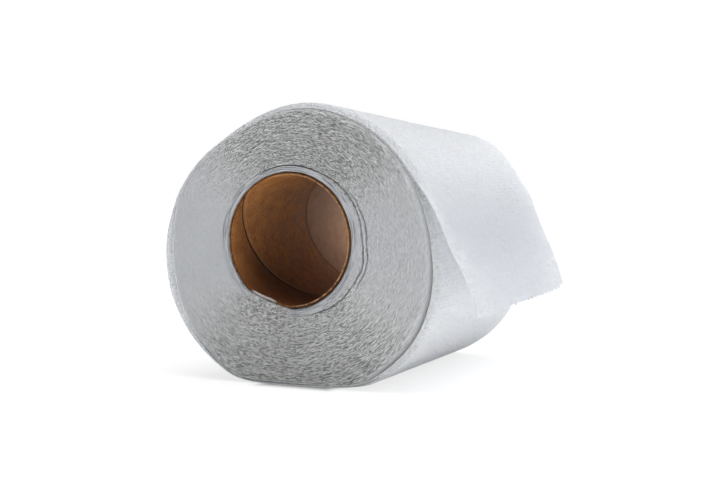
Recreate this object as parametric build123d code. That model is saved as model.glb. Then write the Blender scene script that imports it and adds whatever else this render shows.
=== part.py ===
from build123d import *

import math
import os

# Toilet paper roll on its side, with one sheet's end hanging free.
#
# Millimetres and degrees. The origin is the middle of the core's axis, which lies along Y, and
# +Z is up. The near end of the roll is at -Y. The roll is soft: it has sagged under its own
# weight, so its outline isn't round, and it rests on a small flat along its underside.
#
# The paper is one continuous web, wound clockwise as seen from the near end. Each wound turn
# in the solid stands for several turns of the thin real web, with a hairline between turns.
# The last turn is a single sheet: it stands off the roll at the left and the right, and at
# the right shoulder it leaves the roll and hangs down to its torn edge.

# Core tube of kraft board
core_bore_radius = 22.0
core_wall = 0.8
core_length = 97.2

# The near lip of the core is pushed in at one place, and squashed a little opposite to it
dent_angle = 251.0
dent_half_width = 24.0
dent_depth = 1.2
dent_run = 7.0
dent_arcs = 4
lip_squash = 0.3

# Paper web
web_width = 98.0
sheet_thickness = 0.4
turn_gap = 0.15
glue_gap = 0.05

# How the web is wound: polar angles run from +X towards +Z, and winding runs the other way
start_angle = 202.0
leave_angle = 30.0
passes = 10
single_sheet_lap = 410.0
climb_lap = 40.0
start_clearance = 4.0

# A slack stretch of the web, one turn out from the core
slack_middle = 535.0
slack_half_lap = 115.0
slack_gap = 0.35

# Reach of the sagged roll from the core's axis, at even steps from +X towards +Z
outline_reaches = (53.1, 50.4, 47.9, 45.4, 43.2, 45.6, 48.2, 50.9, 52.2, 52.9, 55.1, 56.9)

# How far below the axis the roll rests on its flat, and how far it is rounded beside the flat
rest_depth = 48.9
flat_rounding = 3.0

# Where the last turn stands off the roll: the middle and half width of each stretch
loose_left_angle = 192.0
loose_right_angle = 338.0
loose_half_width = 48.0
loose_height = 1.9

# The free end of the last sheet: it settles into its slope, runs straight, then curls in
settle_run = 14.0
straight_run = 22.0
curl_run = 18.0
hang_slope = 26.0
tip_slope = 15.0

# Torn edge: slanted across the web, with a short stub left of each paper bridge
tear_rise = 3.2
stub_pitch = 4.5
stub_width = 1.2
stub_length = 0.8
tear_overrun = 1.0

# Winding at which the last turn leaves the roll, and at which the tight turns are complete
full_turn = 360.0
half_turn = full_turn / 2
leave_winding = start_angle - leave_angle + full_turn * passes
closing_winding = leave_winding - full_turn - single_sheet_lap

# Arcs in each turn of a wall of the web, and the step over which its heading is measured
arcs_per_turn = 18
arc_span = full_turn / arcs_per_turn
heading_step = 0.05


def bump(off):
    """A smooth rise from 0 at -1 to 1 at 0, and back to 0 at 1."""
    if abs(off) >= 1:
        return 0.0
    return math.cos(math.pi / 2 * off) ** 2


def angle_bump(angle, middle, half_width):
    """The same rise on the circle."""
    off = (angle - middle + half_turn) % full_turn - half_turn
    return bump(off / half_width)


def round_reach(angle):
    """The outline before it is flattened: the trigonometric curve through its reaches."""
    count = len(outline_reaches)
    total = 0.0
    for i, reach in enumerate(outline_reaches):
        off = math.radians(angle - full_turn * i / count)
        weight = 1 + math.cos(count / 2 * off)
        weight += 2 * sum(math.cos(wave * off) for wave in range(1, count // 2))
        total += reach * weight / count
    return total


def flat_reach(angle):
    """The reach down to the plane that the roll rests on. Upwards it is out of sight."""
    down = -math.sin(math.radians(angle))
    return rest_depth / down if down > 0 else math.inf


def outline_reach(angle):
    """The outer outline's reach: the round one cut by the flat, with a rounded corner."""
    reach = round_reach(angle)
    flat = flat_reach(angle)
    if flat - reach >= flat_rounding:
        return reach
    share = max(0.5 + (flat - reach) / (2 * flat_rounding), 0)
    return share * reach + (1 - share) * flat - flat_rounding * share * (1 - share)


def flat_span():
    """The first and the last whole degree at which the outline is exactly flat."""
    degrees = range(int(full_turn))
    flat = [angle for angle in degrees if round_reach(angle) - flat_reach(angle) >= flat_rounding]
    return flat[:1] + flat[-1:]


def loose_reach(angle):
    """How far the last turn stands off the roll."""
    left = angle_bump(angle, loose_left_angle, loose_half_width)
    right = angle_bump(angle, loose_right_angle, loose_half_width)
    return loose_height * (left + right)


def block_reach(angle):
    """The reach of the tight turns, under the last one."""
    return outline_reach(angle) - sheet_thickness - turn_gap / 2 - loose_reach(angle)


def polar_angle(winding):
    return start_angle - winding


def core_outside():
    return core_bore_radius + core_wall


def gap_over(winding):
    """The gap between the web at this winding angle and the turn that lies on it."""
    if winding >= closing_winding:
        return turn_gap + loose_reach(polar_angle(winding))
    return turn_gap + (slack_gap - turn_gap) * bump((winding - slack_middle) / slack_half_lap)


def inner_radius(winding):
    """The web's face towards the core. Its first turn climbs over its own glued start."""
    if winding < full_turn:
        part_way = (winding - full_turn + climb_lap) / (climb_lap - start_clearance)
        part_way = min(max(part_way, 0), 1)
        climbed = part_way * part_way * (3 - 2 * part_way)
        return core_outside() + glue_gap + climbed * (sheet_thickness + turn_gap)
    under = winding - full_turn
    return outer_radius(under) + gap_over(under)


def outer_radius(winding):
    """The web's face away from the core."""
    share = min(winding / closing_winding, 1)
    depth = block_reach(polar_angle(winding)) - core_outside()
    wound = core_outside() + share * depth - turn_gap / 2
    return max(wound, inner_radius(winding) + sheet_thickness)


def web_point(radius, winding):
    """A point of one face of the web, in the plane of the profile."""
    angle = math.radians(polar_angle(winding))
    reach = radius(winding)
    return Vector(reach * math.cos(angle), reach * math.sin(angle))


def web_heading(radius, winding):
    """The direction in which the web runs there, towards its free end."""
    before = web_point(radius, winding - heading_step)
    after = web_point(radius, winding + heading_step)
    return (after - before).normalized()


def wound_arc(radius, first, last):
    middle = (first + last) / 2
    return ThreePointArc(*(web_point(radius, winding) for winding in (first, middle, last)))


def wound_wall(radius, first, last):
    """Arcs along one face of the web, through its own points.

    They meet at the same polar angles on every turn, so that neighbouring turns stay alike.
    """
    margin = arc_span / 4
    stops = [first]
    stop = arc_span * math.ceil((first + margin) / arc_span)
    while stop < last - margin:
        stops.append(stop)
        stop += arc_span
    stops.append(last)
    return [wound_arc(radius, here, there) for here, there in zip(stops, stops[1:])]


def last_pass(angle):
    """The winding angle at which the last turn passes this polar angle."""
    return leave_winding - (angle - leave_angle) % full_turn


def turned_arc(start, heading, run, turned, side):
    """An arc of one face of the sheet, whose middle turns clockwise over the run."""
    radius = run / math.radians(abs(turned)) + side * math.copysign(sheet_thickness / 2, turned)
    return JernArc(start, heading, radius, -turned)


def hanging_wall(start, side):
    """One face of the free end, from the roll to its tip. side is +1 outside and -1 inside."""
    heading = web_heading(outer_radius, leave_winding)
    leave_slope = math.degrees(math.atan2(heading.X, -heading.Y))
    settle = turned_arc(start, heading, settle_run, leave_slope - hang_slope, side)
    straight = Line(settle @ 1, settle @ 1 + settle % 1 * straight_run)
    curl = turned_arc(straight @ 1, straight % 1, curl_run, hang_slope - tip_slope, side)
    return [settle, straight, curl]


def outside_wall():
    """The wound web's outer face, which is a straight line where the roll rests on it."""
    flat = flat_span()
    if not flat:
        return wound_wall(outer_radius, 0, leave_winding)
    rest_start = last_pass(flat[-1])
    rest_end = last_pass(flat[0])
    rest = Line(web_point(outer_radius, rest_start), web_point(outer_radius, rest_end))
    before = wound_wall(outer_radius, 0, rest_start)
    after = wound_wall(outer_radius, rest_end, leave_winding)
    return [*before, rest, *after]


def web_profile():
    """The web seen from its near end, as one closed face."""
    outside = outside_wall()
    outside += hanging_wall(outside[-1] @ 1, 1)
    glued_end = full_turn - climb_lap
    inside = [wound_arc(inner_radius, 0, glued_end)]
    inside += wound_wall(inner_radius, glued_end, leave_winding)
    inside += hanging_wall(inside[-1] @ 1, -1)
    start = Line(inside[0] @ 0, outside[0] @ 0)
    tip = Line(outside[-1] @ 1, inside[-1] @ 1)
    return make_face([start, *outside, tip, *inside])


def tear_waste(tip):
    """What is torn away below the free edge: a comb whose gaps leave the stubs."""
    near = -web_width / 2
    slope = tear_rise / web_width
    count = int(web_width // stub_pitch)
    margin = (web_width - count * stub_pitch) / 2
    level = tip.Z + stub_length

    def edge_at(along, below):
        return (along, level + slope * (along - near) - below)

    points = [edge_at(near - tear_overrun, 0)]
    for i in range(count):
        first = near + margin + (i + 0.5) * stub_pitch - stub_width / 2
        last = first + stub_width
        points += [edge_at(first, 0), edge_at(first, stub_length)]
        points += [edge_at(last, stub_length), edge_at(last, 0)]
    points.append(edge_at(-near + tear_overrun, 0))
    floor = tip.Z - 2 * stub_length - tear_rise
    points += [(-near + tear_overrun, floor), (near - tear_overrun, floor)]
    comb = make_face(Polyline(*points, close=True))
    return extrude(Plane.YZ.offset(tip.X - curl_run / 2) * comb, curl_run)


def tissue_web():
    web = extrude(Plane.XZ.offset(-web_width / 2) * web_profile(), web_width)
    tip = web.vertices().sort_by(Axis.X)[-1].center()
    return web - tear_waste(tip)


def lip_section(radius, depth, squash):
    """A section of the tube as arcs, pushed in at the dent and a little less opposite to it."""

    def point(part_way):
        angle = dent_angle + dent_half_width * part_way
        reach = radius - depth * bump(part_way)
        return Vector(reach, 0).rotate(Axis.Z, angle)

    step = 2 / dent_arcs
    starts = [-1 + step * i for i in range(dent_arcs)]
    dent = [ThreePointArc(point(at), point(at + step / 2), point(at + step)) for at in starts]
    opposite = Vector(radius - squash, 0).rotate(Axis.Z, dent_angle + full_turn / 2)
    return make_face([*dent, ThreePointArc(point(1), opposite, point(-1))])


def core_body(radius):
    """A round bar with the tube's dented near lip."""
    near = -core_length / 2
    round_end = near + dent_run
    sections = [
        Plane.XZ.offset(-near) * lip_section(radius, dent_depth, lip_squash),
        Plane.XZ.offset(-round_end) * lip_section(radius, 0, 0),
    ]
    return loft(sections, ruled=True) + extrude(sections[1], core_length - dent_run, dir=(0, 1, 0))


def core_tube():
    return core_body(core_outside()) - core_body(core_bore_radius)


os.makedirs("parts", exist_ok=True)
for name, solid in (("core_tube", core_tube()), ("tissue_web", tissue_web())):
    export_step(solid, f"parts/{name}.step")
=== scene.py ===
import bisect
import math

import bpy
from mathutils import Matrix, Vector, noise


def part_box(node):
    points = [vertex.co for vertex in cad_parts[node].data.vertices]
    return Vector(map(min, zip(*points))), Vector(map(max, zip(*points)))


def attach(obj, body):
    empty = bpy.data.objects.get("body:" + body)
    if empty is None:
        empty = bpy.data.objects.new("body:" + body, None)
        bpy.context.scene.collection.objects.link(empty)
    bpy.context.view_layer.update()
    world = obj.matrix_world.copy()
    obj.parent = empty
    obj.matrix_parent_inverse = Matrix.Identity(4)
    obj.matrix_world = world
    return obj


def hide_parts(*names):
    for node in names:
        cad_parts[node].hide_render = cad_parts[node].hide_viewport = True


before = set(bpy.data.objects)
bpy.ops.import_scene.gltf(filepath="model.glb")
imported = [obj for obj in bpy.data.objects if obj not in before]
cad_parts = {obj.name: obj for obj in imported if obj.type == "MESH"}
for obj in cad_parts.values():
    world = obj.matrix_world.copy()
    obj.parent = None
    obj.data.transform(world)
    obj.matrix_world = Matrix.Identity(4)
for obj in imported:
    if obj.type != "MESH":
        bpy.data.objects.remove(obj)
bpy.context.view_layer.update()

bl_info = {
    "name": "Toilet paper roll",
    "version": (1, 0, 0),
    "blender": (4, 5, 0),
    "location": "3D View > Sidebar > Paper Roll",
    "description": "A soft paper roll on its card core, with its last sheet hanging loose",
    "category": "Object",
}

# Lengths are millimetres until a point goes into a mesh, and metres in the trees of nodes. Angles
# are degrees, from +X towards +Z. Winding runs the other way, clockwise as seen from the near end.
MM = 0.001

WEB_LOW, WEB_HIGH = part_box("tissue_web")
CORE_LOW, CORE_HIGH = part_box("core_tube")
WEB_WIDTH = (WEB_HIGH[1] - WEB_LOW[1]) / MM
CORE_LENGTH = (CORE_HIGH[1] - CORE_LOW[1]) / MM
CORE_OUTSIDE = CORE_HIGH[0] / MM
CORE_BORE = 22.0
FLOOR = WEB_LOW[2] / MM

# The roll's outline, its flat and its loose last turn, as the solids have them
OUTLINE_REACHES = (53.1, 50.4, 47.9, 45.4, 43.2, 45.6, 48.2, 50.9, 52.2, 52.9, 55.1, 56.9)
REST_DEPTH = 48.9
REST_MIDDLE = 2.7
REST_HALF_WIDTH = 10.7
FLAT_ROUNDING = 3.0
START_ANGLE = 202.0
LEAVE_ANGLE = 30.0
LEAVE_WINDING = START_ANGLE - LEAVE_ANGLE
LOOSE_LEFT = 192.0
LOOSE_RIGHT = 338.0
LOOSE_HALF_WIDTH = 48.0
LOOSE_HEIGHT = 1.9
SHEET_ROOM = 0.4
TURN_GAP = 0.15

# How much of the room behind the loose turn the tight ones fill, at the right
RIGHT_FILL = 0.72

# The last turn starts under itself, climbs over its own start and lies double until it leaves
BURIED_LAP = 44.0
CLIMB = 0.55
CLIMB_LAP = 66.0
DOUBLED_LAP = 50.0

# The hanging end, as the solids have it
SETTLE_RUN = 14.0
STRAIGHT_RUN = 22.0
CURL_RUN = 18.0
TAIL_RUN = SETTLE_RUN + STRAIGHT_RUN + CURL_RUN
HANG_SLOPE = 26.0
TIP_SLOPE = 15.0

# The torn edge is slanted, fuller past its middle and ragged, with a stub of each paper bridge.
# The sheet's rows bend to its shape over the fade, and its fibres are rooted a little inside it.
TEAR_RISE = 3.2
TEAR_FULL = 1.35
TEAR_BACK = 0.3
RAGGED_FINE = 0.35
RAGGED_COARSE = 0.3
STUB_PITCH = 4.5
STUB_SHARE = 0.28
STUB_LENGTH = 0.4
TEAR_FADE = 40.0
FIBRE_ROOT = 0.1

# How far above its tip the sheet starts to take the painted shade of its hanging end, and more light
# through it, and has taken them fully
LOW_COLOUR_START = 60.0
LOW_COLOUR_END = 15.0

# The mesh of the sheet, and its rows of slits between paper bridges
SHEET_ROWS = 250
SHEET_COLUMNS = 132
PERFORATION_PITCH = 125.0
SLIT_WIDTH = 0.22
SLIT_COLUMNS = 6
SLIT_CLEARANCE = 0.5
MAP_UNIT = 100.0

# The far end has sagged otherwise: lower on top, and fuller at the shoulder behind the free end
FAR_LOW_ANGLE = 85.0
FAR_LOW_SPREAD = 38.0
FAR_LOW = 3.5
FAR_FULL = 3.3
FAR_FULL_RUN = 18.0
FAR_FULL_LEAD = 23.0

# At the far end the hanging sheet bows out first, and further down it hangs in
FAR_BOW = 1.0
FAR_HANG_IN = 0.8

# The sheet's edges curl in over the roll's rims: less at the left, and hardly where the roll lies
EDGE_START = 0.9
EDGE_CURL = 1.9
EDGE_CURL_LEFT = 0.6
EDGE_DRAWN_IN = 0.8
RIGHT_EDGE_LAID = 0.9
LYING_ANGLE = 266.0
LYING_HALF_WIDTH = 62.0
LYING_SHARE = 0.95

# Soft ripples of the hanging end, and of the edge of the loose turn
RIPPLE_HEIGHT = 0.55
EDGE_WAVE_HEIGHT = 0.3

# The dent in the core's near lip, with a kink beside its middle
DENT_ANGLE = 251.0
DENT_HALF_WIDTH = 24.0
DENT_DEPTH = 1.2
DENT_RUN = 7.0
KINK_ANGLE = 264.0
KINK_HALF_WIDTH = 5.0
KINK_HEIGHT = 0.28

# The core's cut ends: reaches from the axis, and how far each is set back from the lip
NEAR_LIP = (
    (22.74, 0.08), (22.62, 0.02), (22.50, 0.05), (22.42, 0.30), (22.34, 0.10), (22.22, 0.0), (22.08, 0.06),
)
FAR_LIP = ((22.15, 0.03), (22.4, 0.0), (22.65, 0.03))
BORE_SETBACK = 0.22
OUTSIDE_SETBACK = 0.25
WORN_RUN = 1.2
LIP_FRAY = 0.35

# Where a flap of tissue covers the near lip, and the room between the core and the tissue
FLAP_ANGLE = 244.0
CORE_CLEARANCE = 0.28

# The core's spiral seam: its run along the core in one turn, and its lead at the near lip
SEAM_PITCH = 95.0
SEAM_LEAD = 36.78

# Where the slack ring near the core has come away most
SLACK_ANGLE = 27.0

# Relief of the wound ends, in metres: rims, bore's edge, slack ring, swells and creases
RIM_DEPTH = 0.0028
BORE_ROUNDING = 0.0010
SLACK_DEPTH = 0.0030
SWELL_DEPTH = 0.0006
CREASE_DEPTH = 0.0022

# The reach, in metres, at which a tick in that relief has its given length
TICK_REACH = 0.045

# How the wound ends are meshed
NEAR_TURNS = 52
FAR_TURNS = 34
ROWS_PER_TURN = 3

FLOOR_HALF_WIDTH = 4000.0

# The camera, in metres and degrees: turned from +Y, tilted down, and rolled
CAMERA_PLACE = (0.1816, -0.3884, 0.01855)
CAMERA_TURN = 24.4385
CAMERA_TILT = 2.7903
CAMERA_ROLL = -0.0789
FOCAL_PIXELS = 1150.0
PHOTO_WIDTH = 724
SENSOR_WIDTH = 36.0


def bump(off):
    """A smooth rise from 0 at -1 to 1 at 0, and back to 0 at 1."""
    if abs(off) >= 1:
        return 0.0
    return math.cos(math.pi / 2 * off) ** 2


def angle_bump(angle, middle, half_width):
    """The same rise on the circle."""
    off = (angle - middle + 180) % 360 - 180
    return bump(off / half_width)


def smooth(value):
    """A smooth rise from 0 at 0 to 1 at 1, and level beyond them."""
    value = min(max(value, 0.0), 1.0)
    return value * value * (3 - 2 * value)


def round_reach(angle):
    """The outline before it is flattened: the trigonometric curve through its reaches."""
    count = len(OUTLINE_REACHES)
    total = 0.0
    for i, reach in enumerate(OUTLINE_REACHES):
        off = math.radians(angle - 360 * i / count)
        weight = 1 + math.cos(count / 2 * off)
        weight += 2 * sum(math.cos(wave * off) for wave in range(1, count // 2))
        total += reach * weight / count
    return total


def outline_reach(angle):
    """The outline's reach: the round one cut by the flat, with a rounded corner."""
    reach = round_reach(angle)
    down = -math.sin(math.radians(angle))
    if down <= 0:
        return reach
    flat_reach = REST_DEPTH / down
    share = 0.5 + (flat_reach - reach) / (2 * FLAT_ROUNDING)
    share = min(max(share, 0), 1)
    return share * reach + (1 - share) * flat_reach - FLAT_ROUNDING * share * (1 - share)


def loose_right(angle):
    """Where the last turn stands off the roll at the right, from 0 to 1."""
    return angle_bump(angle, LOOSE_RIGHT, LOOSE_HALF_WIDTH)


def loose_share(angle):
    """Where the last turn stands off the roll, from 0 to 1."""
    return angle_bump(angle, LOOSE_LEFT, LOOSE_HALF_WIDTH) + loose_right(angle)


def wound_reach(angle):
    """The reach of the tight turns: at the right they fill most of the room behind the last one."""
    room = LOOSE_HEIGHT * (loose_share(angle) - RIGHT_FILL * loose_right(angle))
    return outline_reach(angle) - SHEET_ROOM - TURN_GAP / 2 - room


def far_low(angle):
    """How much lower the far end's outline is."""
    edge = math.cos(math.radians(FAR_LOW_SPREAD))
    return FAR_LOW * smooth((math.cos(math.radians(angle - FAR_LOW_ANGLE)) - edge) / (1 - edge))


class Wire:
    """An output socket of a node, with the sums that Python can write on it."""

    def __init__(self, bench, socket):
        self.bench = bench
        self.socket = socket

    def out(self, name):
        """Another output of the same node."""
        return Wire(self.bench, self.socket.node.outputs[name])

    def sum_of(self, operation, first, second=None):
        values = {0: first} if second is None else {0: first, 1: second}
        wires = [value for value in (first, second) if isinstance(value, Wire)]
        kind = "ShaderNodeMath"
        if any(wire.socket.type == "VECTOR" for wire in wires):
            kind = "ShaderNodeVectorMath"
        return self.bench.node(kind, {"operation": operation}, values)

    def __add__(self, other):
        return self.sum_of("ADD", self, other)

    def __radd__(self, other):
        return self.sum_of("ADD", other, self)

    def __sub__(self, other):
        return self.sum_of("SUBTRACT", self, other)

    def __rsub__(self, other):
        return self.sum_of("SUBTRACT", other, self)

    def __mul__(self, other):
        return self.sum_of("MULTIPLY", self, other)

    def __rmul__(self, other):
        return self.sum_of("MULTIPLY", other, self)

    def __truediv__(self, other):
        return self.sum_of("DIVIDE", self, other)

    def __rtruediv__(self, other):
        return self.sum_of("DIVIDE", other, self)

    def __pow__(self, other):
        return self.sum_of("POWER", self, other)

    def worked(self, operation, other=None):
        """One of the maths functions of one number or two, such as FLOOR or MAXIMUM."""
        return self.sum_of(operation, self, other)

    def between(self, low, high, first=0.0, last=1.0, shape="SMOOTHSTEP"):
        """The value spread from low to high onto first to last, and held beyond them."""
        return self.bench.node(
            "ShaderNodeMapRange",
            {"interpolation_type": shape, "clamp": True},
            {"Value": self, "From Min": low, "From Max": high, "To Min": first, "To Max": last},
        )

    def dyed(self, first, last):
        """A colour between two others, by this value."""
        return self.bench.node(
            "ShaderNodeMix",
            {"data_type": "RGBA", "clamp_factor": True},
            {0: self, 6: first, 7: last},
        )


class Bench:
    """Makes the nodes of one tree."""

    def __init__(self, tree):
        self.tree = tree

    def node(self, kind, settings=None, values=None):
        """Any node, by its type. A list of values goes to one socket that takes several links."""
        made = self.tree.nodes.new(kind)
        for name, value in (settings or {}).items():
            setattr(made, name, value)
        for name, value in (values or {}).items():
            socket = made.inputs[name]
            for one in value if isinstance(value, list) else [value]:
                if isinstance(one, Wire):
                    self.tree.links.new(one.socket, socket)
                elif socket.type == "RGBA":
                    socket.default_value = (*one, 1.0)
                else:
                    socket.default_value = one
        shown = [socket for socket in made.outputs if socket.enabled]
        return Wire(self, shown[0]) if shown else made

    def point(self, x, y=0.0, z=0.0):
        """A point or a vector from its three parts."""
        return self.node("ShaderNodeCombineXYZ", {}, {0: x, 1: y, 2: z})

    def parts(self, point):
        """The three parts of a point. Its X comes first, and out gives the others."""
        return self.node("ShaderNodeSeparateXYZ", {}, {0: point})

    def patches(self, place, scale, detail, distortion=0.0):
        """Soft random patches, from 0 to 1."""
        values = {"Vector": place, "Scale": scale, "Detail": detail, "Distortion": distortion}
        return self.node("ShaderNodeTexNoise", {}, values)

    def streaks(self, across, up, circle, level, detail=1.0, distortion=0.0):
        """Random streaks around the roll's axis: shorter on a larger circle, new with each level."""
        return self.patches(self.point(across * circle, up * circle, level), 1.0, detail, distortion)

    def attribute(self, name):
        """A number that was stored on the piece's points."""
        return self.node("ShaderNodeAttribute", {"attribute_name": name}).out("Fac")

    def relief(self, height, distance, strength=1.0):
        """The normal of a surface that stands out by a height from 0 to 1, over a distance."""
        values = {"Strength": strength, "Distance": distance, "Height": height}
        return self.node("ShaderNodeBump", {}, values)


# Meshes


def new_object(name, points, faces, smooth_faces=True, edges=()):
    mesh = bpy.data.meshes.new(name)
    mesh.from_pydata([tuple(c * MM for c in point) for point in points], edges, faces)
    mesh.validate()
    mesh.polygons.foreach_set("use_smooth", [smooth_faces] * len(mesh.polygons))
    piece = bpy.data.objects.new(name, mesh)
    bpy.context.scene.collection.objects.link(piece)
    return piece


def made_plain(piece):
    """The piece with its modifiers worked into its mesh."""
    graph = bpy.context.evaluated_depsgraph_get()
    mesh = bpy.data.meshes.new_from_object(piece.evaluated_get(graph), depsgraph=graph)
    piece.modifiers.clear()
    old = piece.data
    piece.data = mesh
    bpy.data.meshes.remove(old)
    mesh.name = piece.name
    return piece


def on_part(piece, node):
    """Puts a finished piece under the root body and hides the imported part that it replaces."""
    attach(piece, "root")
    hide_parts(node)


# Materials


def new_material(name):
    material = bpy.data.materials.new(name)
    material.use_nodes = True
    material.node_tree.nodes.clear()
    return material, Bench(material.node_tree)


def tissue_surface(bench, dye, roughness, normal, glow, tint):
    """Soft paper: rough, with a little of the light passing through."""
    skin = bench.node(
        "ShaderNodeBsdfPrincipled",
        {},
        {
            "Base Color": dye, "Roughness": roughness, "Normal": normal,
            "Specular IOR Level": 0.15, "Sheen Weight": 0.12, "Sheen Roughness": 0.6,
        },
    )
    through = bench.node("ShaderNodeBsdfTranslucent", {}, {"Color": tint, "Normal": normal})
    both = bench.node("ShaderNodeMixShader", {}, {0: glow, 1: skin, 2: through})
    bench.node("ShaderNodeOutputMaterial", {}, {"Surface": both})


def polar(bench):
    """Where a point of the roll lies: its direction from the axis, its reach and its length."""
    place = bench.node("ShaderNodeTexCoord").out("Object")
    parts = bench.parts(place)
    across = parts.out("X")
    up = parts.out("Z")
    reach = (across * across + up * up) ** 0.5
    return place, across / reach, up / reach, reach, parts.out("Y")


def end_tissue(looks):
    """The stacked edges of the wound tissue, at both ends of the roll, with painted shade in their hollows
    and ticks and painted highlights on the ticks and the left rim.
    """
    material, bench = new_material("Wound tissue")
    place, across, up, reach, _ = polar(bench)
    ply = bench.streaks(across, up, 26.0, reach * 4200.0, 2.0)
    wander = bench.patches(place, 240.0, 1.0) * 3.0
    fine = bench.streaks(across, up, 28.0, reach * 2900.0 + wander, 1.0, 0.3)
    coarse = bench.streaks(across, up, 24.0, reach * 2500.0 + wander, 1.0, 0.3)
    crush = fine + (coarse - fine) * up.between(-0.2, -0.8)
    soft = bench.patches(place, 90.0, 2.0)
    fibre = bench.patches(place, 2600.0, 2.0)
    ring = bench.streaks(across, up, 3.0, reach * 2600.0, 2.0)
    near_core = reach.between(0.0258, 0.0248)
    cavity = bench.attribute("cavity")
    rough = bench.attribute("crushed")
    rim = bench.attribute("rim")

    dye = soft.between(0.35, 0.65).dyed(looks.tissue, looks.tissue_shade)
    # A lighter tone over the crinkled zones, then painted highlights on the tops of the crinkles' ticks.
    dye = (rough * 0.9).dyed(dye, looks.pale_tissue_and_highlight)
    # Painted shade: darker where the relief, grooves and slack ring sink, and at the bore's edge.
    dye = cavity.between(0.0, 1.0, 0.0, 0.5, "LINEAR").dyed(dye, looks.painted_hollow_shade)
    dye = (crush.between(0.53, 0.62) * rough).dyed(dye, looks.pale_tissue_and_highlight)
    # Painted shade in the crinkles' ticks and in the ring grooves near the core, with faint random lines
    # between the plies.
    streak = crush.between(0.46, 0.37) * rough * 0.7 + ply.between(0.5, 0.8) * 0.08
    streak = streak + ring.between(0.56, 0.66) * near_core * 0.28
    dye = streak.dyed(dye, looks.painted_hollow_shade)
    # Painted shade on the rounded rim towards the right.
    painted_rim_shade = rim.between(0.1, 0.9) * across.between(-0.1, 0.6) * 0.65
    dye = painted_rim_shade.dyed(dye, looks.painted_hollow_shade)
    # Painted light on the rounded rim at the left, except at the bottom; the barrel and the wall against
    # the core take the sheet's own colour.
    painted_rim_light = rim.between(0.0, 1.0) * across.between(-0.4, 0.2, 1.0, 0.0) * up.between(-0.9, -0.4)
    dye = (painted_rim_light + rim.between(1.0, 1.6)).dyed(dye, looks.sheet)
    height = ply * 0.16 + crush * rough * 1.5 + fibre * 0.08 - ring.between(0.5, 0.66) * near_core * 0.5
    roughness = fibre.between(0.3, 0.7, 0.84, 0.97)
    tissue_surface(bench, dye, roughness, bench.relief(height, 0.0012), 0.12, looks.tissue)
    return material


def sheet_tissue(looks):
    """The embossed last sheet, with painted shade between its dots and on its hanging end. Its map runs
    along the sheet and across it, in tenths of a metre.
    """
    material, bench = new_material("Embossed sheet")
    lay = bench.node("ShaderNodeUVMap", {"uv_map": "Sheet"})
    dots = bench.node(
        "ShaderNodeTexVoronoi",
        {"feature": "SMOOTH_F1"},
        {"Vector": lay, "Scale": 78.0, "Smoothness": 0.6, "Randomness": 0.55},
    )
    creping = bench.patches(lay, 160.0, 3.0)
    drift = bench.patches(lay, 9.0, 2.0)
    pillow = dots.between(0.1, 0.75, 1.0, 0.0)
    raised = (pillow * 0.5 + creping * 0.5).between(0.26, 0.52)
    # Painted shade between the embossed dots, mixed with a random creping tone.
    dye = raised.dyed(looks.sheet_tone_and_painted_shade, looks.sheet)
    run = bench.parts(lay).out("X")
    low = (SHEET_LENGTH - LOW_COLOUR_START) / MAP_UNIT
    hanging = run.between(low, (SHEET_LENGTH - LOW_COLOUR_END) / MAP_UNIT)
    # Painted shade: the hanging end darker towards its tip.
    dye = (hanging * 0.8).dyed(dye, looks.hanging_end_painted_shade)
    normal = bench.relief(pillow * 0.8 + creping * 0.7 + drift * 1.2, 0.0006)
    roughness = creping.between(0.3, 0.7, 0.85, 0.97)
    tissue_surface(bench, dye, roughness, normal, hanging * 0.25 + 0.6, looks.sheet)
    return material


def torn_paper(looks):
    """The loose fibres of the torn edge."""
    material, bench = new_material("Torn fibres")
    drift = bench.patches(bench.node("ShaderNodeTexCoord").out("Object"), 300.0, 1.0)
    dye = drift.between(0.3, 0.7).dyed(looks.sheet_tone_and_painted_shade, looks.sheet)
    tissue_surface(bench, dye, 0.95, bench.relief(drift, 0.0001, 0.1), 0.5, looks.sheet)
    return material


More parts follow.
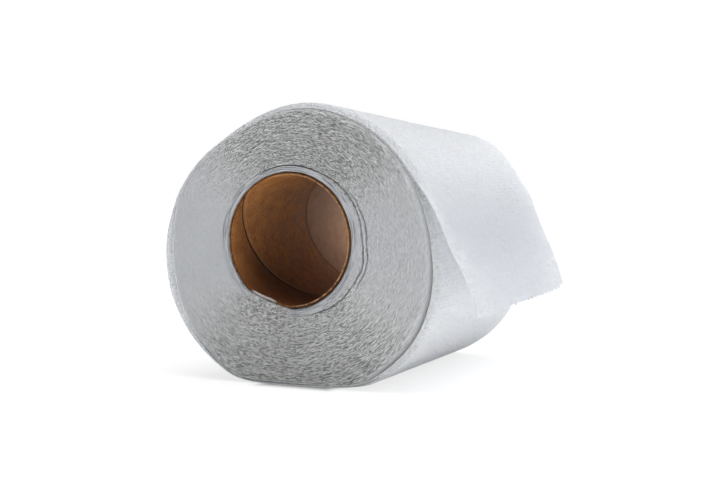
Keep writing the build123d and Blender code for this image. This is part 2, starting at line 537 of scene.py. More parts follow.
def core_board(looks):
    """Kraft card, wound from a strip whose edges show as two spiral seams in the bore, with painted shade
    low in the bore and round the lip, and painted highlights beside the first seam and on the lip.
    """
    material, bench = new_material("Kraft card")
    place, across, up, reach, along = polar(bench)
    turn = up.worked("ARCTAN2", across) / (2 * math.pi)
    phase = ((along / MM + CORE_LENGTH / 2 + SEAM_LEAD) / SEAM_PITCH - turn).worked("FRACT")
    grain = bench.streaks(across, up, 9.0, along * 900.0, 4.0)
    mottle = bench.patches(place, 220.0, 3.0)
    fibre = bench.patches(place, 2200.0, 2.0)
    pale = (grain * 0.25 + mottle * 0.35 + fibre * 0.4).between(0.42, 0.58)
    dye = pale.dyed(looks.board_dark, looks.board)
    greyer = phase.between(0.495, 0.53) * along.between(-0.02, 0.015) * mottle.between(0.3, 0.6, 0.3, 0.85)
    dye = greyer.dyed(dye, looks.board_grey)
    wide = up.between(0.5, -0.7, 0.0, 0.010, "LINEAR")
    gap = (1 - phase.between(0.003 + wide * 0.7, 0.005 + wide)) + phase.between(0.996, 1.0)
    soft_gap = phase.between(0.485, 0.5) * (1 - phase.between(0.5, 0.52)) * 0.4
    # Painted shade low in the bore near the lip, and below the first seam as its step's shadow.
    shaded = up.between(0.1, -0.9) * along.between(0.0, -0.036) + phase.between(0.84, 1.0) * 0.4
    dye = shaded.dyed(dye, looks.board_painted_shade)
    # Painted highlight along the cut edge beside the first seam.
    painted_seam_highlight = (phase.between(0.010, 0.020) - phase.between(0.020, 0.034)) * 0.22
    dye = painted_seam_highlight.dyed(dye, looks.lip)
    dye = (gap + soft_gap).dyed(dye, looks.seam)

    lip = CORE_LENGTH / 2 * MM
    end = along.worked("ABSOLUTE").between(lip - 0.0004, lip - 0.00015)
    ragged = bench.streaks(across, up, 22.0, reach * 900.0, 2.0)
    # A paler ragged cut edge on the lip, faded out towards the left: partly real wear, partly painted
    # highlight.
    worn = end * ragged.between(0.42, 0.56, 0.1, 1.0) * across.between(-0.5, 0.6, 0.0, 1.0)
    # Painted shade in the gap round the lip's outer edge, and along the lip's left side.
    painted_lip_shade = end * reach.between(0.02236, 0.02252) + end * across.between(-0.2, -0.8) * 0.6
    flap = math.radians(FLAP_ANGLE)
    covered = end * (across * math.cos(flap) + up * math.sin(flap)).between(0.965, 0.99) * 0.6
    dye = worn.dyed(dye, looks.lip)
    dye = painted_lip_shade.dyed(dye, looks.board_painted_shade)
    dye = covered.dyed(dye, looks.pale_tissue_and_highlight)
    height = grain * 0.4 + fibre * 0.35 - gap * 2.5 - soft_gap * 1.5
    skin = bench.node(
        "ShaderNodeBsdfPrincipled",
        {},
        {
            "Base Color": dye,
            "Roughness": mottle.between(0.3, 0.7, 0.62, 0.85),
            "Normal": bench.relief(height, 0.0003, 0.7),
            "Specular IOR Level": 0.15,
        },
    )
    bench.node("ShaderNodeOutputMaterial", {}, {"Surface": skin})
    return material


def floor_finish(looks):
    """A pale floor that glows softly, less near the roll, with a painted contact shadow where the roll lies
    on it.
    """
    material, bench = new_material("Pale floor")
    seen = bench.node("ShaderNodeLightPath").out("Is Camera Ray")
    place = bench.node("ShaderNodeTexCoord").out("Object")
    far = bench.node("ShaderNodeVectorMath", {"operation": "LENGTH"}, {0: place}).out("Value")
    parts = bench.parts(place)

    def glowing(albedo, glow):
        white = bench.node("ShaderNodeBsdfDiffuse", {}, {"Color": (albedo, albedo, albedo)})
        light = bench.node("ShaderNodeEmission", {}, {"Color": glow, "Strength": 1.0})
        return bench.node("ShaderNodeAddShader", {}, {0: white, 1: light})

    # Painted contact shadow: the glow seen by the camera drops round where the roll lies.
    beside = (parts.out("X") - REST_MIDDLE * MM).worked("ABSOLUTE") - REST_HALF_WIDTH * MM
    before = parts.out("Y").worked("ABSOLUTE") - WEB_WIDTH / 2 * MM
    close = beside.worked("MAXIMUM", before).between(-0.001, 0.006, 0.25, 1.0)
    sided = parts.out("X").between(-0.25, 0.10, 0.74, 1.05)
    lit = glowing(looks.floor, far.between(0.055, 0.13, 0.15, 0.72) * sided)
    bright = glowing(0.35, far.between(0.2, 1.2, 0.72, 1.05) * close)
    both = bench.node("ShaderNodeMixShader", {}, {0: seen, 1: lit, 2: bright})
    bench.node("ShaderNodeOutputMaterial", {}, {"Surface": both})
    return material


# Trees of geometry nodes


def add_tree(piece, tree, values):
    """Puts a tree on a piece, with its named inputs set."""
    modifier = piece.modifiers.new(tree.name, "NODES")
    modifier.node_group = tree
    for item in tree.interface.items_tree:
        if item.item_type == "SOCKET" and item.in_out == "INPUT" and item.name in values:
            modifier[item.identifier] = values[item.name]


def new_tree(name, start, sizes):
    """A tree that takes a geometry, numbers and a material, with its bench and its inputs."""
    tree = bpy.data.node_groups.new(name, "GeometryNodeTree")
    faces = tree.interface
    faces.new_socket("Geometry", in_out="OUTPUT", socket_type="NodeSocketGeometry")
    faces.new_socket(start, in_out="INPUT", socket_type="NodeSocketGeometry")
    for size in sizes:
        faces.new_socket(size, in_out="INPUT", socket_type="NodeSocketFloat")
    faces.new_socket("Material", in_out="INPUT", socket_type="NodeSocketMaterial")
    bench = Bench(tree)
    return bench, bench.node("NodeGroupInput")


def tree_end(bench, made, material):
    """The last nodes of a tree."""
    made = bench.node("GeometryNodeRealizeInstances", {}, {"Geometry": made})
    made = bench.node("GeometryNodeSetMaterial", {}, {"Geometry": made, "Material": material})
    bench.node("NodeGroupOutput", {}, {"Geometry": made})
    return bench.tree


# Wound tissue, made by geometry nodes


class WoundInputs:
    """The named inputs of the wound tissue's tree, as wires, and the parts that its ends share."""

    columns = 320

    names = ("Half width", "Ridge depth", "Crinkle depth", "Slack turn", "Slack width", "Seed")

    def __init__(self):
        self.bench, self.group = new_tree("Wound tissue", "Outline", self.names)
        self.half_width = self.group.out("Half width")
        self.ridge = self.group.out("Ridge depth")
        self.crinkle = self.group.out("Crinkle depth")
        self.slack_turn = self.group.out("Slack turn")
        self.slack_width = self.group.out("Slack width")
        self.seed = self.group.out("Seed")

    def grid(self, count):
        """A grid with a column for each step round the roll, and each point's column and row."""
        sides = {"Vertices X": self.columns + 1, "Vertices Y": count}
        grid = self.bench.node("GeometryNodeMeshGrid", {}, sides)
        index = self.bench.node("GeometryNodeInputIndex")
        column = ((index + 0.5) / count).worked("FLOOR")
        return grid, column, index - column * count

    def outline(self, column, far):
        """The direction from the axis, the block's reach and the bore's there. far is from 0 to 1."""
        place = self.bench.node("GeometryNodeInputPosition")
        point = self.bench.node(
            "GeometryNodeSampleIndex",
            {"data_type": "FLOAT_VECTOR"},
            {"Geometry": self.group.out("Outline"), "Value": place, "Index": column},
        )
        parts = self.bench.parts(point)
        angle = parts.out("X")
        edge = math.cos(math.radians(FAR_LOW_SPREAD))
        above = (angle - math.radians(FAR_LOW_ANGLE)).worked("COSINE").between(edge, 1.0)
        block = parts.out("Y") - above * far * FAR_LOW * MM
        edge = math.cos(math.radians(DENT_HALF_WIDTH))
        facing = (angle - math.radians(DENT_ANGLE)).worked("COSINE").between(edge, 1.0)
        near = 1 - far.between(0.0, DENT_RUN / WEB_WIDTH)
        inner = parts.out("Z") - facing * near * DENT_DEPTH * MM
        return angle.worked("COSINE"), angle.worked("SINE"), block, inner

    def slack_side(self, turn_x, turn_z):
        """Strong at the upper right, where the inner ring has come away, and gone at the left."""
        middle = math.radians(SLACK_ANGLE)
        facing = turn_x * math.cos(middle) + turn_z * math.sin(middle)
        return facing.between(-0.35, 0.35) * turn_x.between(-0.9, -0.3, 0.5, 1.0)

    def slack_ring(self, layer, further):
        """One groove between two turns."""
        off = (layer - self.slack_turn - further).worked("ABSOLUTE")
        return 1 - off.between(0.0, self.slack_width, 0, 1, "LINEAR")

    def laid(self, grid, reach, turn_x, turn_z, along, **stored):
        """The grid bent round the roll, with numbers for the material stored on its points."""
        place = self.bench.point(reach * turn_x, along, reach * turn_z)
        mesh = self.bench.node("GeometryNodeSetPosition", {}, {"Geometry": grid, "Position": place})
        for name, value in stored.items():
            mesh = self.bench.node(
                "GeometryNodeStoreNamedAttribute",
                {"data_type": "FLOAT", "domain": "POINT"},
                {"Geometry": mesh, "Name": name, "Value": value},
            )
        return mesh

    def flipped(self, mesh):
        return self.bench.node("GeometryNodeFlipFaces", {}, {"Mesh": mesh})


def rim_rounding(turn_x, turn_z):
    """How far the rounded rim falls back: least at the left and where the roll lies."""
    depth = turn_x.between(-0.5, -0.95, RIM_DEPTH, RIM_DEPTH * 0.45)
    return depth * turn_z.between(-0.7, -0.95, 1.0, 0.25)


def end_rows(given, turns, side):
    """One end of the roll, at side -1 or 1, as the edge of a spiral strip of a few rows a turn."""
    bench = given.bench
    rows = ROWS_PER_TURN
    grid, column, row = given.grid(rows * (turns + 1) + 1)
    end = bench.node("ShaderNodeValue")
    end.socket.default_value = 0.0 if side < 0 else 1.0
    turn_x, turn_z, block, inner = given.outline(column, end)
    whole = ((row + 0.5) / rows).worked("FLOOR")
    across = row / rows - whole
    layer = whole + column / given.columns - 1
    share = ((layer + across) / turns).between(0, 1, 0, 1, "LINEAR")
    reach = inner + (block - inner) * share

    def ticks(length, level, seed):
        """Short ticks around the axis, each about this many metres long, from -0.5 to 0.5."""
        circle = TICK_REACH / length
        return bench.streaks(turn_x, turn_z, circle, level + seed) - 0.5

    seed = given.seed + (0 if side < 0 else 31)
    past_bore = share.between(0.0, 0.02)
    rim_start = turn_x.between(-0.5, -0.95, 0.85, 0.93) + turn_z.between(-0.7, -0.95, 0.0, 0.11)
    rim = share.between(rim_start, 1.0)
    ring = 1 - share.between(0.07, 0.13)
    upright = turn_z.worked("ABSOLUTE").between(0.25, 0.85, 0.3, 1.0)
    strength = upright * turn_x.between(-0.95, -0.2, 0.5, 1.0) * (1 - rim) * (1 - ring * 0.85) * past_bore
    edge = ticks(0.0022, layer * 4.3, seed)
    hatch = ticks(0.0030, reach * 1300.0, seed + 7)
    swell = ticks(0.0120, reach * 150.0, seed + 13)
    creases = ticks(0.0034, reach * 820.0, seed + 19)
    dent = math.radians(DENT_ANGLE)
    beside_dent = (turn_x * math.cos(dent) + turn_z * math.sin(dent)).between(0.90, 0.985)
    crumple = beside_dent * (1 - share.between(0.12, 0.42)) * past_bore
    groove = (1 - across.between(0.0, 0.3, 0, 1, "LINEAR")) * (1 - rim) * past_bore
    further = turn_x.between(0.3, 1.0) * 3.0 + swell * 3.0 * turn_x.between(0.5, 1.0)
    first = given.slack_side(turn_x, turn_z) * given.slack_ring(layer + across, further)
    second = turn_x.between(0.80, 0.95) * given.slack_ring(layer + across, further + 2.6)
    slack = first + second * 0.7

    crinkled = edge * given.crinkle + hatch * given.crinkle * 1.1 + swell * SWELL_DEPTH
    relief = crinkled * strength + creases * crumple * CREASE_DEPTH
    rounded = rim * rim * rim_rounding(turn_x, turn_z) + (1 - past_bore) * BORE_ROUNDING
    ridges = groove * given.ridge * (0.35 + strength * 0.65)
    along = side * (given.half_width - (rounded + slack * SLACK_DEPTH + ridges + relief))
    # How much painted shade each point gets: where its relief, groove and slack ring sink, and at the
    # bore's edge.
    painted_hollow_shade = relief.between(-0.0001, 0.0006) * 0.55 + groove * 0.35 * (0.3 + strength) + slack * 1.3
    painted_hollow_shade = painted_hollow_shade + (1 - share.between(0.0, 0.012)) * 1.3
    crushed = (strength + crumple).between(0, 1, 0, 1, "LINEAR")
    mesh = given.laid(grid, reach, turn_x, turn_z, along, cavity=painted_hollow_shade, crushed=crushed, rim=rim)
    return given.flipped(mesh) if side > 0 else mesh


def side_rows(given, steps, outside):
    """The barrel of the tight turns, or their wall against the core. Their rim number is 2."""
    grid, column, row = given.grid(steps + 1)
    step = row / steps
    turn_x, turn_z, block, inner = given.outline(column, step)
    reach = block if outside else inner
    rounding = rim_rounding(turn_x, turn_z) if outside else BORE_ROUNDING
    along = (step * 2 - 1) * (given.half_width - rounding)
    mesh = given.laid(grid, reach, turn_x, turn_z, along, cavity=0.0, crushed=0.0, rim=2.0)
    return mesh if outside else given.flipped(mesh)


def wound_tree():
    """The two ends of the wound tissue, its barrel and its wall against the core."""
    given = WoundInputs()
    bench = given.bench
    parts = [
        end_rows(given, NEAR_TURNS, -1),
        side_rows(given, 16, True),
        end_rows(given, FAR_TURNS, 1),
        side_rows(given, 10, False),
    ]
    joined = bench.node("GeometryNodeJoinGeometry", {}, {"Geometry": parts})
    joined = bench.node("GeometryNodeMergeByDistance", {}, {"Geometry": joined, "Distance": 0.00002})
    joined = bench.node("GeometryNodeSetShadeSmooth", {}, {"Geometry": joined})
    return tree_end(bench, joined, given.group.out("Material"))


# The last sheet


def sheet_reach(winding):
    """The middle of the last sheet's thickness, where it is still on the roll."""
    climbed = smooth((winding - LEAVE_WINDING + CLIMB_LAP + DOUBLED_LAP) / CLIMB_LAP)
    return outline_reach(START_ANGLE - winding) - SHEET_ROOM / 2 + CLIMB * climbed


def hanging_slope(run, leaving):
    """The hanging end's slope at this run from the shoulder, which it leaves at the given slope."""
    if run < SETTLE_RUN:
        return leaving + (HANG_SLOPE - leaving) * run / SETTLE_RUN
    curled = max(run - SETTLE_RUN - STRAIGHT_RUN, 0) / CURL_RUN
    return HANG_SLOPE + (TIP_SLOPE - HANG_SLOPE) * curled


def sheet_path(on_roll=250, hanging=36, within=4):
    """Points along the sheet from its buried start to its tip, hung in a few steps to each point."""
    first = LEAVE_WINDING - 360 - BURIED_LAP
    points = []
    for i in range(on_roll + 1):
        winding = first + (LEAVE_WINDING - first) * i / on_roll
        angle = math.radians(START_ANGLE - winding)
        reach = sheet_reach(winding)
        points.append((reach * math.cos(angle), reach * math.sin(angle)))
    (x0, z0), (x, z) = points[-2:]
    leaving = math.degrees(math.atan2(x - x0, z0 - z))
    steps = hanging * within
    for i in range(steps):
        slope = math.radians(hanging_slope(TAIL_RUN * (i + 0.5) / steps, leaving))
        x += math.sin(slope) * TAIL_RUN / steps
        z -= math.cos(slope) * TAIL_RUN / steps
        if (i + 1) % within == 0:
            points.append((x, z))
    return points


def path_reader(points):
    """A function from the length along the path to its point and its outward direction."""
    lengths = [0.0]
    for here, there in zip(points, points[1:]):
        lengths.append(lengths[-1] + math.dist(here, there))

    def read(length):
        length = min(max(length, 0.0), lengths[-1])
        low = min(bisect.bisect_right(lengths, length), len(points) - 1) - 1
        (x0, z0), (x1, z1) = points[low:low + 2]
        run = lengths[low + 1] - lengths[low]
        share = (length - lengths[low]) / run
        out = ((z0 - z1) / run, (x1 - x0) / run)
        return x0 + (x1 - x0) * share, z0 + (z1 - z0) * share, out

    return read, lengths[-1]


READ_SHEET, SHEET_LENGTH = path_reader(sheet_path())


def far_push(hung, angle):
    """How far the sheet stands out at its far edge, where the roll has sagged otherwise."""
    fuller = FAR_FULL * smooth((hung * TAIL_RUN + FAR_FULL_LEAD) / FAR_FULL_RUN)
    bowed = FAR_BOW * bump((hung - 0.1) / 0.5) - FAR_HANG_IN * smooth((hung - 0.35) / 0.65)
    return fuller + bowed - far_low(angle)


def edge_hold(hung, angle, loose):
    """How closely the sheet's edge lies round the rim, from 0 to 1."""
    laid = RIGHT_EDGE_LAID * loose_right(angle) if hung < 0 else 0.0
    lying = LYING_SHARE * angle_bump(angle, LYING_ANGLE, LYING_HALF_WIDTH)
    return (1 - loose + laid) * (1 - smooth(hung * 3)) * (1 - lying)


def sheet_point(length, across):
    """A point of the sheet. Across runs from the near edge, at -1, to the far edge, at 1."""
    x, z, out = READ_SHEET(length)
    y = across * WEB_WIDTH / 2
    hung = (length - SHEET_LENGTH + TAIL_RUN) / TAIL_RUN
    angle = math.degrees(math.atan2(z, x))
    loose = loose_share(angle) if hung < 0 else 0.0
    edge = smooth((abs(across) - EDGE_START) / (1 - EDGE_START))
    push = far_push(hung, angle) * (across + 1) / 2
    ripple = noise.noise(Vector((length / 16, y / 22, 3.7))) * RIPPLE_HEIGHT * smooth(hung * 2)
    wave = noise.noise(Vector((length / 9, across * 2, 8.1))) * EDGE_WAVE_HEIGHT * edge * loose
    tight = edge_hold(hung, angle, loose) * edge ** 2
    to_left = smooth((-math.cos(math.radians(angle)) - 0.35) / 0.45)
    curl = EDGE_CURL + (EDGE_CURL_LEFT - EDGE_CURL) * to_left
    off = push + ripple + wave - curl * tight
    y -= math.copysign(EDGE_DRAWN_IN * tight, across)
    return x + out[0] * off, y, z + out[1] * off


def torn_length(across):
    """How far the sheet runs at this place of its torn edge."""
    far = (across + 1) / 2
    y = far * WEB_WIDTH
    ragged = noise.noise(Vector((y / 1.1, 0.4, 9.2))) * RAGGED_FINE
    ragged += noise.noise(Vector((y / 4.0, 2.1, 5.0))) * RAGGED_COARSE
    stub = STUB_LENGTH if abs(y / STUB_PITCH % 1.0 - 0.5) < STUB_SHARE / 2 else 0.0
    fuller = TEAR_FULL * smooth((across + 0.6) / 1.4) * smooth((1.02 - across) / 0.15)
    return SHEET_LENGTH - TEAR_RISE * far + fuller + ragged + stub - TEAR_BACK


def sheet_rows(count):
    """Lengths of the mesh's rows: even ones, and a close pair on each side of every perforation."""
    rows = [SHEET_LENGTH * i / count for i in range(count + 1)]
    row = SHEET_LENGTH - PERFORATION_PITCH
    while row > PERFORATION_PITCH / 2:
        rows = [length for length in rows if abs(length - row) > SLIT_CLEARANCE]
        rows += [row - SLIT_WIDTH / 2, row + SLIT_WIDTH / 2]
        row -= PERFORATION_PITCH
    return sorted(rows)


def perforation_tree():
    """Rows of slits across the sheet, one slit to each paper bridge."""
    sizes = ("Length", "Row pitch", "Slit pitch", "Bridge share")
    bench, group = new_tree("Perforations", "Sheet", sizes)
    lay = bench.node("GeometryNodeInputNamedAttribute", {"data_type": "FLOAT_VECTOR"}, {"Name": "Sheet"})
    parts = bench.parts(lay)
    from_edge = group.out("Length") - parts.out("X") * (MAP_UNIT * MM)
    rows = from_edge / group.out("Row pitch")
    nearest = rows.worked("ROUND")
    off = (rows - nearest).worked("ABSOLUTE") * group.out("Row pitch")
    place = (parts.out("Y") * (MAP_UNIT * MM) / group.out("Slit pitch")).worked("FRACT")
    on_row = off.worked("LESS_THAN", SLIT_WIDTH / 2 * MM) * nearest.worked("GREATER_THAN", 0.5)
    cut = on_row * place.worked("GREATER_THAN", group.out("Bridge share"))
    slit = bench.node(
        "GeometryNodeDeleteGeometry", {"domain": "FACE"}, {"Geometry": group.out("Sheet"), "Selection": cut}
    )
    return tree_end(bench, slit, group.out("Material"))


def fibre_tree():
    """Short curved fibres that stand out of the torn edge, thinner towards their tips."""
    bench, group = new_tree("Torn fibres", "Edge", ("Count", "Length", "Thickness", "Seed"))
    edge = bench.node("GeometryNodeMeshToCurve", {}, {"Mesh": group.out("Edge")})
    edge = bench.node("GeometryNodeResampleCurve", {}, {"Curve": edge, "Count": group.out("Count")})
    line = bench.node("GeometryNodeCurvePrimitiveLine", {}, {"End": (0, 0, -1)})
    line = bench.node("GeometryNodeResampleCurve", {}, {"Curve": line, "Count": 5})
    part_way = bench.node("GeometryNodeSplineParameter").out("Factor")
    bend = bench.point(part_way * part_way * 0.5)
    line = bench.node("GeometryNodeSetPosition", {}, {"Geometry": line, "Offset": bend})
    ring = bench.node("GeometryNodeCurvePrimitiveCircle", {}, {"Resolution": 4, "Radius": 1.0})
    taper = group.out("Thickness") / group.out("Length") * (1 - part_way * 0.8)
    fibre = bench.node(
        "GeometryNodeCurveToMesh", {},
        {"Curve": line, "Profile Curve": ring, "Scale": taper, "Fill Caps": True},
    )
    turned = bench.node(
        "FunctionNodeRandomValue", {"data_type": "FLOAT_VECTOR"},
        {"Min": (-0.6, -0.8, -3.1), "Max": (0.6, 0.2, 3.1), "Seed": group.out("Seed")},
    )
    long = bench.node(
        "FunctionNodeRandomValue", {"data_type": "FLOAT"},
        {"Min": 0.3, "Max": 1.0, "Seed": group.out("Seed") + 1},
    )
    set_out = bench.node("GeometryNodeInstanceOnPoints", {}, {
        "Points": edge, "Instance": fibre, "Rotation": turned, "Scale": long * group.out("Length"),
    })
    return tree_end(bench, set_out, group.out("Material"))


# What a user may change


def length_choice(name, description, default, **limits):
    return bpy.props.FloatProperty(
        name=name, description=description, default=default,
        precision=5, subtype="DISTANCE", unit="LENGTH", **limits,
    )


def colour_choice(name, description, default):
    return bpy.props.FloatVectorProperty(
        name=name, description=description, default=default, subtype="COLOR", min=0, max=1,
    )


class RollSizes(bpy.types.PropertyGroup):
    sheet_thickness: length_choice(
        "Sheet thickness", "Thickness of the loose last sheet", 0.00028, min=0.0001, max=0.0004,
    )
    ridge_depth: length_choice("Groove depth", "How deep the grooves between the turns are", 0.00022)
    crinkle_depth: length_choice("Crinkle depth", "How far the turns' edges stand in and out", 0.0011)
    slack_turn: bpy.props.FloatProperty(
        name="Slack turn", description="The turn outside which the smooth inner ring has come away",
        default=5.0, min=1.0, max=20.0,
    )
    slack_width: bpy.props.FloatProperty(
        name="Slack width", description="Half of the slack gap's width, in turns",
        default=0.55, min=0.1, max=2.0,
    )
    fibre_count: bpy.props.FloatProperty(
        name="Fibre count", description="How many torn fibres stand out of the last edge",
        default=600.0, min=0.0, max=2000.0,
    )
    fibre_length: length_choice(
        "Fibre length", "Length of the longest torn fibres", 0.0010, min=0.0001, max=0.003,
    )
    fibre_thickness: length_choice(
        "Fibre thickness", "Half the thickness of a torn fibre at its root", 0.00003, min=0.00001,
    )
    seed: bpy.props.IntProperty(name="Seed", description="Picks another crinkle of the tissue", default=4)


class RollLooks(bpy.types.PropertyGroup):
    tissue: colour_choice("Tissue", "Colour of the wound edges", (0.515, 0.53, 0.565))
    # Pale tissue: a lighter tone on crinkled zones and the tissue flap on the core's lip, and painted
    # highlight on the ticks' tops.
    pale_tissue_and_highlight: colour_choice("Tissue light", "Colour of the edges that stand out", (0.78, 0.78, 0.77))
    tissue_shade: colour_choice("Tissue shade", "Second colour of the wound edges", (0.505, 0.52, 0.545))
    # Painted shade: laid deep between the turns, in the crinkles' ticks and on the rim's right side.
    painted_hollow_shade: colour_choice("Hollows", "Colour deep between the turns", (0.25, 0.255, 0.24))
    sheet: colour_choice("Sheet", "Colour of the embossed sheet", (0.945, 0.95, 0.96))
    # Painted shade between the embossed dots; on the torn fibres a random darker tone.
    sheet_tone_and_painted_shade: colour_choice("Sheet shade", "Colour between the embossed dots", (0.79, 0.80, 0.815))
    # Painted shade on the hanging end, darker towards its tip.
    hanging_end_painted_shade: colour_choice("Hanging end", "Colour of the free end", (0.62, 0.64, 0.68))
    board: colour_choice("Card", "Colour of the card core", (0.42, 0.19, 0.062))
    board_dark: colour_choice("Card shade", "Darker fibres of the card", (0.25, 0.093, 0.024))
    board_grey: colour_choice("Inner strip", "The greyer card beyond the second seam", (0.40, 0.255, 0.17))
    # Painted shade low in the bore, below the first seam and round the lip.
    board_painted_shade: colour_choice("Shaded card", "Colour of the card low in the bore", (0.10, 0.034, 0.008))
    seam: colour_choice("Seam", "Colour in the seams of the card", (0.018, 0.008, 0.004))
    # The cut ends' own paler colour; it also paints the highlight beside the first seam.
    lip: colour_choice("Worn lip", "Colour of the card's cut ends", (0.46, 0.30, 0.18))
    floor: bpy.props.FloatProperty(
        name="Floor", description="How much light the floor gives back", default=0.85, min=0, max=1,
    )


# Pieces


def core_profile():
    """Reaches from the axis and places along it: the near lip, the bore, the far lip, the outside."""
    half = CORE_LENGTH / 2
    bore_steps = 40
    outside_steps = 12
    profile = [(CORE_OUTSIDE, OUTSIDE_SETBACK - half)]
    profile += [(reach, back - half) for reach, back in NEAR_LIP]
    for i in range(bore_steps + 1):
        run = (CORE_LENGTH - 2 * BORE_SETBACK) * i / bore_steps
        profile.append((CORE_BORE, run + BORE_SETBACK - half))
    profile += [(reach, half - back) for reach, back in FAR_LIP]
    for i in range(outside_steps):
        run = (CORE_LENGTH - 2 * OUTSIDE_SETBACK) * i / outside_steps
        profile.append((CORE_OUTSIDE, half - OUTSIDE_SETBACK - run))
    return profile


def core_point(angle, reach, along):
    """A point of the core, pushed in at the dent, kinked there and frayed at its near lip."""
    turn = math.radians(angle)
    behind = along + CORE_LENGTH / 2
    pushed = DENT_DEPTH * angle_bump(angle, DENT_ANGLE, DENT_HALF_WIDTH) * smooth(1 - behind / DENT_RUN)
    kink = KINK_HEIGHT * angle_bump(angle, KINK_ANGLE, KINK_HALF_WIDTH) * smooth(1 - 2 * behind / DENT_RUN)
    worn = smooth(1 - behind / WORN_RUN)
    around = Vector((math.cos(turn) * 9, math.sin(turn) * 9, 0.7))
    fray = noise.noise(around * 1.7) * LIP_FRAY * worn
    frayed_in = (noise.noise(around * 0.6) + noise.noise(around * 2.1)) * 0.12
    reach += kink - pushed + frayed_in * worn
    return reach * math.cos(turn), along + abs(fray), reach * math.sin(turn)


def core_mesh(columns=240):
    """The points and faces of the core."""
    profile = core_profile()
    rows = len(profile)
    points = []
    faces = []
    for i in range(columns):
        points += [core_point(360 * i / columns, reach, along) for reach, along in profile]
        here = i * rows
        there = (i + 1) % columns * rows
        for j in range(rows):
            k = (j + 1) % rows
            faces.append((here + j, here + k, there + k, there + j))
    return points, faces


def last_sheet(looks, thickness):
    """The loose last turn with its hanging end, perforated and as thick as given."""
    places = []
    points = []
    rows = sheet_rows(SHEET_ROWS)
    for row in rows:
        for j in range(SHEET_COLUMNS + 1):
            across = 2 * j / SHEET_COLUMNS - 1
            torn = torn_length(across) - SHEET_LENGTH
            length = row + torn * smooth((row - SHEET_LENGTH + TEAR_FADE) / TEAR_FADE)
            points.append(sheet_point(length, across))
            places.append((length / MAP_UNIT, (across + 1) / 2 * WEB_WIDTH / MAP_UNIT))
    faces = []
    for i in range(len(rows) - 1):
        for j in range(SHEET_COLUMNS):
            here = i * (SHEET_COLUMNS + 1) + j
            there = here + SHEET_COLUMNS + 1
            faces.append((here, here + 1, there + 1, there))
    piece = new_object("last_sheet", points, faces)
    layer = piece.data.uv_layers.new(name="Sheet")
    for loop in piece.data.loops:
        layer.data[loop.index].uv = places[loop.vertex_index]
    add_tree(piece, perforation_tree(), {
        "Length": SHEET_LENGTH * MM,
        "Row pitch": PERFORATION_PITCH * MM,
        "Slit pitch": WEB_WIDTH * SLIT_COLUMNS / SHEET_COLUMNS * MM,
        "Bridge share": 1 / SLIT_COLUMNS,
        "Material": sheet_tissue(looks),
    })
    thick = piece.modifiers.new("Thickness", "SOLIDIFY")
    thick.thickness = thickness
    thick.offset = 0.0
    return made_plain(piece)


def torn_fibres(looks, sizes, count=400):
    """Fibres along the torn edge, which is drawn in this many steps."""
    edge = []
    for i in range(count + 1):
        across = 2 * i / count - 1
        edge.append(sheet_point(torn_length(across) - FIBRE_ROOT, across))
    fibres = new_object("torn_fibres", edge, [], edges=[(i, i + 1) for i in range(count)])
    add_tree(fibres, fibre_tree(), {
        "Count": sizes.fibre_count,
        "Length": sizes.fibre_length,
        "Thickness": sizes.fibre_thickness,
        "Seed": float(sizes.seed),
        "Material": torn_paper(looks),
    })
    return made_plain(fibres)


def studio_sky():
    """White behind everything, and for light a soft sky above, behind and at the right."""
    world = bpy.data.worlds.new("Studio")
    world.use_nodes = True
    world.node_tree.nodes.clear()
    bench = Bench(world.node_tree)
    seen = bench.node("ShaderNodeLightPath").out("Is Camera Ray")
    ways = bench.parts(bench.node("ShaderNodeTexCoord"))
    from_right = ways.out("X").between(0.2, 0.9)
    from_behind = ways.out("Y").between(-0.2, 0.8)
    from_above = ways.out("Z").between(0.5, 1.0)
    shaded_left = ways.out("X").between(-0.9, 0.2, 0.2, 1.0)
    light = 0.03 + from_right * 0.55 + (from_behind * 0.45 + from_above * 0.6) * shaded_left
    sky = light.dyed((0, 0, 0), (0.95, 0.97, 1.0))
    room = bench.node("ShaderNodeBackground", {}, {"Color": sky, "Strength": 1.45})
    white = bench.node("ShaderNodeBackground", {}, {"Color": (1, 1, 1), "Strength": 1.0})
    both = bench.node("ShaderNodeMixShader", {}, {0: seen, 1: room, 2: white})
    bench.node("ShaderNodeOutputWorld", {}, {"Surface": both})
    return world


def soft_box(name, place, aim, side, power, tint):
    """A square light at a place, turned towards the point that it is aimed at."""
    light = bpy.data.lights.new(name, "AREA")
    light.shape = "RECTANGLE"
    light.size = side
    light.size_y = side
    light.energy = power
    light.color = tint
    lamp = bpy.data.objects.new(name, light)
    lamp.location = place
    lamp.rotation_euler = (Vector(aim) - Vector(place)).to_track_quat("-Z", "Y").to_euler()
    bpy.context.scene.collection.objects.link(lamp)


def studio_camera():
    """The camera, turned, tilted and rolled to the photograph's view."""
    turn = math.radians(CAMERA_TURN)
    tilt = math.radians(CAMERA_TILT)
    level = math.cos(tilt)
    ahead = Vector((-math.sin(turn) * level, math.cos(turn) * level, -math.sin(tilt)))
    right = Vector((math.cos(turn), math.sin(turn), 0))
    facing = Matrix((right, right.cross(ahead), -ahead)).transposed()
    lens = bpy.data.cameras.new("Camera")
    lens.sensor_fit = "HORIZONTAL"
    lens.sensor_width = SENSOR_WIDTH
    lens.lens = FOCAL_PIXELS / PHOTO_WIDTH * SENSOR_WIDTH
    lens.clip_start = 0.01
    camera = bpy.data.objects.new("Camera", lens)
    camera.location = CAMERA_PLACE
    camera.rotation_euler = (facing @ Matrix.Rotation(math.radians(CAMERA_ROLL), 3, "Z")).to_euler()
    bpy.context.scene.collection.objects.link(camera)
    return camera


# Steps


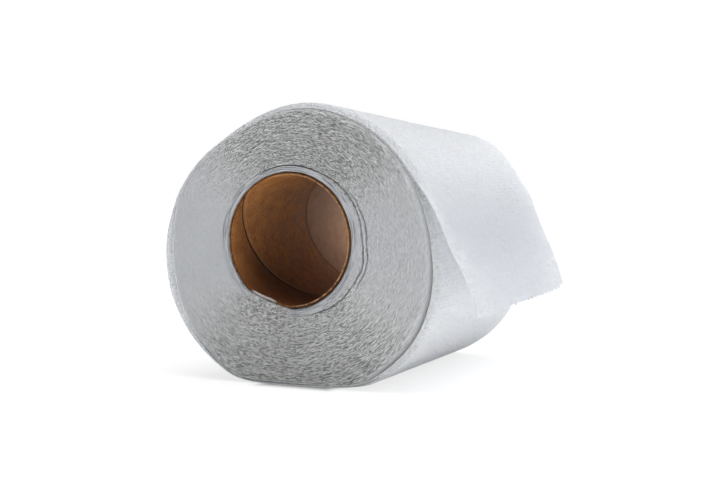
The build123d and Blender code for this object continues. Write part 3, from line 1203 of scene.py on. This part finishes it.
class PAPERROLL_OT_core(bpy.types.Operator):
    """Make the card core, with its dented lip"""
    bl_idname = "paperroll.core"
    bl_label = "Card core"

    def execute(self, context):
        piece = new_object("cardboard_core", *core_mesh())
        piece.data.materials.append(core_board(context.scene.roll_looks))
        on_part(piece, "core_tube")
        return {"FINISHED"}


class PAPERROLL_OT_wound(bpy.types.Operator):
    """Wind the tight turns of tissue round the core"""
    bl_idname = "paperroll.wound"
    bl_label = "Wound tissue"

    def execute(self, context):
        sizes = context.scene.roll_sizes
        columns = WoundInputs.columns
        inner = CORE_OUTSIDE + CORE_CLEARANCE
        points = []
        for i in range(columns + 1):
            angle = START_ANGLE - 360 * i / columns
            points.append((math.radians(angle) / MM, wound_reach(angle), inner))
        piece = new_object("wound_tissue", points, [])
        add_tree(piece, wound_tree(), {
            "Half width": WEB_WIDTH / 2 * MM,
            "Ridge depth": sizes.ridge_depth,
            "Crinkle depth": sizes.crinkle_depth,
            "Slack turn": sizes.slack_turn,
            "Slack width": sizes.slack_width,
            "Seed": float(sizes.seed),
            "Material": end_tissue(context.scene.roll_looks),
        })
        made_plain(piece)
        if len(piece.data.polygons) < 1000:
            raise RuntimeError("the wound tissue came out empty")
        on_part(piece, "tissue_web")
        return {"FINISHED"}


class PAPERROLL_OT_sheet(bpy.types.Operator):
    """Lay the loose last turn and its hanging end, with the fibres of its torn edge"""
    bl_idname = "paperroll.sheet"
    bl_label = "Last sheet"

    def execute(self, context):
        looks = context.scene.roll_looks
        sizes = context.scene.roll_sizes
        piece = last_sheet(looks, sizes.sheet_thickness)
        on_part(piece, "tissue_web")
        SHEET_LENGTH * MM
        fibres = torn_fibres(looks, sizes)
        on_part(fibres, "tissue_web")
        return {"FINISHED"}


class PAPERROLL_OT_stage(bpy.types.Operator):
    """Set the floor, the lights and the camera"""
    bl_idname = "paperroll.stage"
    bl_label = "Stage"

    def execute(self, context):
        wide = FLOOR_HALF_WIDTH
        sides = ((-wide, -wide), (wide, -wide), (wide, wide), (-wide, wide))
        corners = [(x, y, FLOOR) for x, y in sides]
        floor = new_object("floor", corners, [(0, 1, 2, 3)], False)
        floor.data.materials.append(floor_finish(context.scene.roll_looks))
        context.scene.world = studio_sky()
        soft_box("top_light", (0.0, 0.0, 0.9), (0, 0, 0), 0.9, 5.0, (1.0, 0.99, 0.97))
        soft_box("right_light", (0.5, 0.0, 0.8), (0.02, 0, 0), 0.6, 3.4, (0.98, 0.99, 1.0))
        context.scene.camera = studio_camera()
        context.scene.view_settings.view_transform = "Standard"
        return {"FINISHED"}


class PAPERROLL_PT_panel(bpy.types.Panel):
    bl_idname = "PAPERROLL_PT_panel"
    bl_label = "Paper Roll"
    bl_space_type = "VIEW_3D"
    bl_region_type = "UI"
    bl_category = "Paper Roll"

    def draw(self, context):
        layout = self.layout
        for group in (context.scene.roll_sizes, context.scene.roll_looks):
            for name in group.bl_rna.properties.keys():
                if name not in ("rna_type", "name"):
                    layout.prop(group, name)
        for step in STEPS:
            layout.operator(step.bl_idname)


STEPS = (PAPERROLL_OT_core, PAPERROLL_OT_wound, PAPERROLL_OT_sheet, PAPERROLL_OT_stage)
CLASSES = (RollSizes, RollLooks, *STEPS, PAPERROLL_PT_panel)


def register():
    for each in CLASSES:
        bpy.utils.register_class(each)
    bpy.types.Scene.roll_sizes = bpy.props.PointerProperty(type=RollSizes)
    bpy.types.Scene.roll_looks = bpy.props.PointerProperty(type=RollLooks)


def unregister():
    del bpy.types.Scene.roll_sizes
    del bpy.types.Scene.roll_looks
    for each in reversed(CLASSES):
        bpy.utils.unregister_class(each)


def main():
    register()
    bpy.ops.paperroll.core()
    bpy.ops.paperroll.wound()
    bpy.ops.paperroll.sheet()
    bpy.ops.paperroll.stage()


if __name__ == "__main__":
    main()
